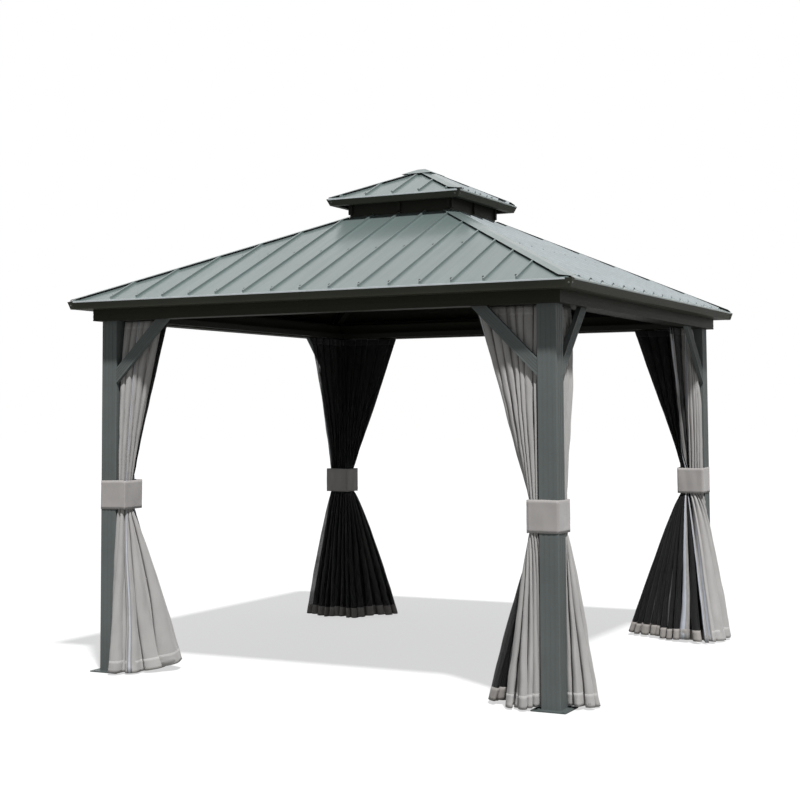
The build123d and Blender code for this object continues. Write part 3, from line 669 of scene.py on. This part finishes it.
class Cloth:
    """A gathered sheet: its place for a step along its folds and a share of its drop."""

    def __init__(self, corner, paths, folds, depths, arm=None):
        self.sx, self.sy = CORNERS[corner]
        low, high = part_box("tie_band_" + corner)
        self.top, self.band_top, self.band_foot = RAIL_FOOT - HEADING_GAP, high.z, low.z
        self.paths = paths
        self.folds = folds
        self.last = FOLD_STEPS * (folds - 1) + 1
        self.rail_depth, self.waist_depth, self.hem_depth = depths
        self.arm = arm
        self.side = 1.0 if arm else -1.0
        self.drape = np.array(CURTAIN_DRAPE if arm else NET_DRAPE)
        widths = rng.uniform(0.6, 1.4, folds)
        self.widths = widths / widths.sum()
        self.starts = np.concatenate([[0.0], np.cumsum(self.widths)])[:-1]
        self.fullness = rng.uniform(0.7, 1.0, folds)
        self.hem_fullness = rng.uniform(0.45, 1.0, folds)
        phases = rng.uniform(0, 2 * math.pi, len(SWAYS) + len(RIPPLES) + 1)
        self.sway_phases, self.ripple_phases = phases[: len(SWAYS)], phases[len(SWAYS) : -1]
        self.dip_phase = phases[-1]

    def base(self, share, above, below):
        """Plan places along the gathers before folding, and the hem's height."""
        rail, waist, hem = (eased_path(p, share) for p in self.paths)
        drawn, flared = above[..., None] ** self.drape, below[..., None] ** FLARE
        plan = waist[..., :2] + (rail[..., :2] - waist[..., :2]) * drawn
        return plan + (hem[..., :2] - waist[..., :2]) * flared, hem[..., 2]

    def outward(self, share, above, below):
        """Plan directions square to the gathers."""
        ahead = self.base(np.clip(share + NEARBY, 0, 1), above, below)[0]
        behind = self.base(np.clip(share - NEARBY, 0, 1), above, below)[0]
        along = ahead - behind
        along /= np.linalg.norm(along, axis=-1, keepdims=True) + 1e-9
        return np.stack([-along[..., 1], along[..., 0]], -1)

    def height(self, drop, hem, above, held, below):
        to_rail = self.band_top + (self.top - self.band_top) * above
        in_band = self.band_foot + (self.band_top - self.band_foot) * held
        to_hem = self.band_foot + (hem - self.band_foot) * below
        return np.where(drop <= 1, to_rail, np.where(drop <= 2, in_band, to_hem))

    def at(self, step, drop):
        """Points for each drop and step: drop 0 is the rail, 1 to 2 the band, and 3 the hem."""
        step, drop = np.asarray(step, float), np.asarray(drop, float)[:, None]
        fold = np.clip((step / FOLD_STEPS).astype(int), 0, self.folds - 1)
        across, depth = eased_path(FOLD, step - fold * FOLD_STEPS).T
        above, below, held = (
            np.broadcast_to(np.clip(share, 0, 1), (len(drop), len(step)))
            for share in (1 - drop, drop - 2, 2 - drop)
        )
        sway = sum(
            size * np.sin(drop * by_drop + fold * by_fold + phase)
            for (size, by_drop, by_fold), phase in zip(SWAYS, self.sway_phases)
        )
        sway = sway * np.clip(np.minimum(step, self.last - step), 0, 1) * (above + below)
        share = np.clip(self.starts[fold] + (across + sway) * self.widths[fold], 0, 1)
        plan, hem = self.base(share, above, below)
        z = self.height(drop, hem, above, held, below)

        thick = self.waist_depth + (self.rail_depth - self.waist_depth) * above
        thick = thick + (self.hem_depth - self.waist_depth) * below**HEM_SWELL
        full = self.fullness[fold] + (self.hem_fullness - self.fullness)[fold] * below
        ripple = sum(
            size * np.sin(step * by_step + z * by_height + phase)
            for (size, by_step, by_height), phase in zip(RIPPLES, self.ripple_phases)
        )
        loose = 0.2 + 3 * above * (1 - above) + below  # least at the rail and in the band
        push = self.side * thick * full * depth + ripple * loose
        plan = plan + self.outward(share, above, below) * push[..., None]

        if self.arm:
            under = np.clip((BRACE_FOOT + plan[..., 0] - z) / BRACE_EASE, 0, 1)
            limit = BRACE_BACK + (CLOTH_FRONT - BRACE_BACK) * under
            plan[..., 1] = np.where(above > 0, np.maximum(plan[..., 1], limit), plan[..., 1])
        if self.arm == "y":
            plan = plan[..., ::-1]
        size, by_fold = DIP
        z = z + size * np.sin(fold * by_fold + self.dip_phase) * below
        x, y = self.sx * (POST_INNER - plan[..., 0]), self.sy * (POST_INNER - plan[..., 1])
        return np.stack([x, y, z], -1)


class Make(NamedTuple):
    """How one kind of gathered sheet is made."""

    width: float  # flat
    depths: tuple  # of the gathers at the rail, in the band and at the hem
    columns: int  # of the mesh, for a step along the folds
    cloths: tuple  # of the sheet, its hem and its heading
    slot: str
    thickness: float
    trim_thickness: float


CURTAIN = Make(
    width=1.26,
    depths=(0.020, 0.022, 0.044),
    columns=11,
    cloths=(curtain_cloth, curtain_cloth, curtain_cloth),
    slot="curtain_cloth",
    thickness=0.0009,
    trim_thickness=0.0013,
)
NET = Make(
    width=2.50,
    depths=(0.012, 0.021, 0.046),
    columns=9,
    cloths=(net_mesh, hem_cloth, net_tape),
    slot="net_mesh",
    thickness=0.0,  # one layer, to be seen through
    trim_thickness=0.0020,
)
ZIP_COLUMNS = 11

UPPER_DROPS = np.linspace(0, 1, 27)
BAND_DROPS = np.linspace(1, 2, 6)[1:]
LOWER_DROPS = 2 + np.linspace(0, 1, 28)[1:] ** 1.1
DROPS = np.concatenate([UPPER_DROPS, BAND_DROPS, LOWER_DROPS])


def cloth_piece(name, cloth, steps, drops, material, thickness, flat_steps):
    """A piece cut from a gathered sheet along some steps and drops, with its steps laid flat."""
    points = cloth.at(steps, drops)
    uv = np.stack(np.broadcast_arrays(flat_steps[None], -running_length(points)[:, None]), -1)
    faces = grid_faces(*points.shape[:2])
    made = mesh_piece(name, points.reshape(-1, 3), faces, material, uv.reshape(-1, 2))
    if thickness:
        thicken(made, thickness)
    return made


def gathered_sheet(name, make, cloth, zips, node):
    """A gathered sheet with its hem, its heading and its zips."""
    steps = np.linspace(0, cloth.last, cloth.last * make.columns + 1)
    flat_steps = steps / cloth.last * make.width
    body, hem, heading = make.cloths
    sheet = cloth_piece(name, cloth, steps, DROPS, body, make.thickness, flat_steps)
    hem_drops = np.linspace(3 - HEM_HEIGHT / cloth.band_foot, 3, 5)
    heading_drops = np.linspace(0, HEADING_SHARE, 4)
    trims = [
        ("hem", steps, hem_drops, hem, flat_steps),
        ("heading", steps, heading_drops, heading, flat_steps),
    ]
    for end, (low, high) in zip("ab", zips):
        zip_steps, zip_flat = np.linspace(low, high, ZIP_COLUMNS), np.linspace(0, 1, ZIP_COLUMNS)
        trims.append(("zip_" + end, zip_steps, DROPS, zipper, zip_flat))
    pieces = [
        cloth_piece(
            f"{name}_{part}", cloth, along, drops, material, make.trim_thickness, flat
        )
        for part, along, drops, material, flat in trims
    ]
    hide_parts(node)


def hang_curtain(corner, arm):
    key = corner, arm
    spread = CURTAIN_SPREADS.get(key, CURTAIN_SPREAD)
    paths = (
        ((0.0, spread, CURTAIN_LINE), (1.0, CURTAIN_END, CURTAIN_LINE)),
        CURTAIN_WAISTS.get(key, CURTAIN_WAIST),
        CURTAIN_HEMS.get(key, CURTAIN_HEM),
    )
    folds = CURTAIN_FOLD_COUNTS.get(key, CURTAIN_FOLD_COUNT)
    gathered_sheet(
        f"curtain_{arm}_{corner}",
        CURTAIN,
        Cloth(corner, paths, folds, CURTAIN.depths, arm),
        [CURTAIN_ZIPS.get(key, CURTAIN_ZIP)],
        "curtain_" + corner,
    )


def hang_net(corner):
    along_x, along_y = NET_SPREADS[corner]
    rail = (
        (0.0, along_x, NET_LINE),
        (0.46, NET_TURN, NET_LINE),
        (0.5, NET_CORNER, NET_CORNER),
        (0.54, NET_LINE, NET_TURN),
        (1.0, NET_LINE, along_y),
    )
    paths = (rail, NET_WAISTS.get(corner, NET_WAIST), NET_HEMS[corner])
    folds = NET_FOLD_COUNTS.get(corner, NET_FOLD_COUNT)
    middles = NET_ZIPS.get(corner, NET_ZIP_STEPS)
    gathered_sheet(
        "net_mesh_" + corner,
        NET,
        Cloth(corner, paths, folds, NET.depths),
        [(middle - NET_ZIP_REACH, middle + NET_ZIP_REACH) for middle in middles],
        "net_" + corner,
    )


for corner in CORNERS:
    for arm in ("x", "y"):
        hang_curtain(corner, arm)
    hang_net(corner)


# Tie bands: a stitched strip round the post and the gathered cloth

BAND_THICKNESS = 0.0024
BAND_RADIUS = 0.008
BAND_ARC_STEPS = 12
BAND_COLUMNS = 161
BAND_ROWS = 11
BAND_BELLY = 0.0022
BAND_CREASES = ((0.0009, 90, 2.5), (0.0006, 47, -4))  # size, turn along the band, up the band
BAND_WAVE = (0.0018, 14)  # of its edges: size, turn along the band
FOOT_WAVE_SHARE = 0.6
BAND_HEM = (0.0007, 0.11)  # thickness, share of the band's height
SOFT_START, SOFT_REACH = 0.10, 0.12  # the band lies flat on the post, and swells over the cloth


def band_plan(near, far):
    """Even places round a rounded square in a corner's plan, and the distances to them."""
    quarter = math.pi / 2
    arc = np.linspace(0, quarter, BAND_ARC_STEPS + 1)
    path = []
    for k, (u, v) in enumerate(((far, near), (far, far), (near, far), (near, near))):
        angle = arc + quarter * (k - 1)
        across = u - math.copysign(BAND_RADIUS, u) + BAND_RADIUS * np.cos(angle)
        along = v - math.copysign(BAND_RADIUS, v) + BAND_RADIUS * np.sin(angle)
        path.extend(zip(across, along))
    path = np.array(path + path[:1])
    length = running_length(path)
    even = np.linspace(0, length[-1], BAND_COLUMNS)
    return np.stack([np.interp(even, length, path[:, i]) for i in (0, 1)], -1), even


def tie_strap(corner):
    low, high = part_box("tie_band_" + corner)
    height = high.z - low.z
    sx, sy = CORNERS[corner]
    near = POST_INNER - max(abs(low.x), abs(high.x)) + BAND_THICKNESS / 2
    far = POST_INNER - min(abs(low.x), abs(high.x)) - BAND_THICKNESS / 2
    plan, even = band_plan(near, far)
    along = np.gradient(plan, axis=0)
    along /= np.linalg.norm(along, axis=1, keepdims=True)
    out = np.stack([along[:, 1], -along[:, 0]], -1)
    soft = np.clip((plan.sum(1) + SOFT_START) / SOFT_REACH, 0, 1)
    (fine, fine_turn, fine_rise), (broad, broad_turn, broad_rise) = BAND_CREASES
    wave, wave_turn = BAND_WAVE
    hem_thickness, hem_share = BAND_HEM
    fine_phase, broad_phase, wave_phase, _ = rng.uniform(0, 2 * math.pi, 4)
    rows = np.linspace(0, 1, BAND_ROWS)
    points = []
    for row in rows:
        push = BAND_BELLY * math.sin(math.pi * row) * soft
        push = push + fine * np.sin(even * fine_turn + fine_phase + fine_rise * row) * soft
        push = push + broad * np.sin(even * broad_turn + broad_phase + broad_rise * row)
        if min(row, 1 - row) < hem_share:
            push = push + hem_thickness
        spot = POST_INNER - (plan + out * push[:, None])
        edge = wave * np.sin(even * wave_turn + wave_phase) * (1 if row > 0.5 else FOOT_WAVE_SHARE)
        points.append(np.stack([sx * spot[:, 0], sy * spot[:, 1], low.z + height * row + edge], -1))
    uv = np.stack(np.broadcast_arrays(even[None], (rows * height)[:, None]), -1)
    made = mesh_piece(
        "tie_strap_" + corner,
        np.reshape(points, (-1, 3)),
        grid_faces(BAND_ROWS, BAND_COLUMNS),
        band_cloth,
        uv.reshape(-1, 2),
    )
    thicken(made, BAND_THICKNESS)
    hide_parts("tie_band_" + corner)


for corner in CORNERS:
    tie_strap(corner)


# Stage, light and camera

FLOOR_HALF = 60.0
FLOOR_DROP = 0.001
FLOOR_SEEN = (0.93, 0.93, 0.93, 1)
FLOOR_BOUNCE = (0.28, 0.28, 0.27, 1)
FLOOR_GLOW = 0.62
SKY = (0.94, 0.97, 1.0, 1)
SKY_STRENGTH = 0.23
WHITE = (1, 1, 1, 1)


def floor_material():
    """Pale floor that reads near white to the camera and still takes the object's shadow."""
    material = bpy.data.materials.new("floor")
    m = Tree(material)
    seen = m.add("LightPath").outputs["Is Camera Ray"]
    matt = m.add("BsdfDiffuse", {"Color": m.mixed(seen, FLOOR_BOUNCE, FLOOR_SEEN)}).outputs[0]
    glow = m.add("Emission").outputs[0]
    look = m.mixed_shader(m.math("MULTIPLY", seen, FLOOR_GLOW), matt, glow)
    m.add("OutputMaterial", {"Surface": look})
    return material


def studio_world():
    """Soft light all round that shows as plain white."""
    world = bpy.data.worlds.new("studio")
    w = Tree(world)
    ray = w.add("LightPath").outputs
    seen = w.math("MAXIMUM", ray["Is Camera Ray"], ray["Is Glossy Ray"])
    seen = w.math("MAXIMUM", seen, ray["Is Transmission Ray"])
    soft = w.add("Background", {"Color": SKY, "Strength": SKY_STRENGTH}).outputs[0]
    white = w.add("Background", {"Color": WHITE, "Strength": 1.0}).outputs[0]
    w.add("OutputWorld", {"Surface": w.mixed_shader(seen, soft, white)})
    return world


def sun(name, azimuth, elevation, strength, spread):
    """A soft lamp at an azimuth from the front, to the right, and an elevation, in degrees."""
    data = bpy.data.lights.new(name, "SUN")
    data.energy = strength
    data.angle = math.radians(spread)
    made = bpy.data.objects.new(name, data)
    a, e = math.radians(azimuth), math.radians(elevation)
    source = Vector((math.sin(a) * math.cos(e), -math.cos(a) * math.cos(e), math.sin(e)))
    made.rotation_mode = "QUATERNION"
    made.rotation_quaternion = source.to_track_quat("Z", "Y")
    bpy.context.scene.collection.objects.link(made)


floor_mesh = bpy.data.meshes.new("floor")
floor_mesh.from_pydata(
    [(FLOOR_HALF * x, FLOOR_HALF * y, 0) for x, y in ((-1, -1), (1, -1), (1, 1), (-1, 1))],
    [],
    [(0, 1, 2, 3)],
)
floor_mesh.materials.append(floor_material())
floor = bpy.data.objects.new("floor", floor_mesh)
floor.location.z = -FLOOR_DROP
bpy.context.scene.collection.objects.link(floor)

bpy.context.scene.world = studio_world()
sun("key", azimuth=42, elevation=60.5, strength=3.9, spread=3.0)

CAMERA = Vector((3.9431, -8.1526, 1.4225))
YAW, TILT, ROLL = (math.radians(a) for a in (26.7089, 3.8142, -0.3413))
FOCAL, MIDDLE, SIDE = 1497.67, (401.02, 313.21), 800.0  # pixels

camera_data = bpy.data.cameras.new("camera")
camera_data.sensor_width = 36.0
camera_data.lens = FOCAL / SIDE * camera_data.sensor_width
camera_data.shift_x = (SIDE / 2 - MIDDLE[0]) / SIDE
camera_data.shift_y = (MIDDLE[1] - SIDE / 2) / SIDE
camera_data.clip_end = 300.0
camera = bpy.data.objects.new("camera", camera_data)
ahead = Vector((-math.sin(YAW) * math.cos(TILT), math.cos(YAW) * math.cos(TILT), math.sin(TILT)))
right = Vector((math.cos(YAW), math.sin(YAW), 0))
over = right.cross(ahead)
rolled = right * math.cos(ROLL) + over * math.sin(ROLL)
upright = over * math.cos(ROLL) - right * math.sin(ROLL)
turned = Matrix((rolled, upright, -ahead)).transposed().to_4x4()
camera.matrix_world = Matrix.Translation(CAMERA) @ turned
bpy.context.scene.collection.objects.link(camera)
bpy.context.scene.camera = camera

bpy.context.scene.view_settings.view_transform = "Standard"
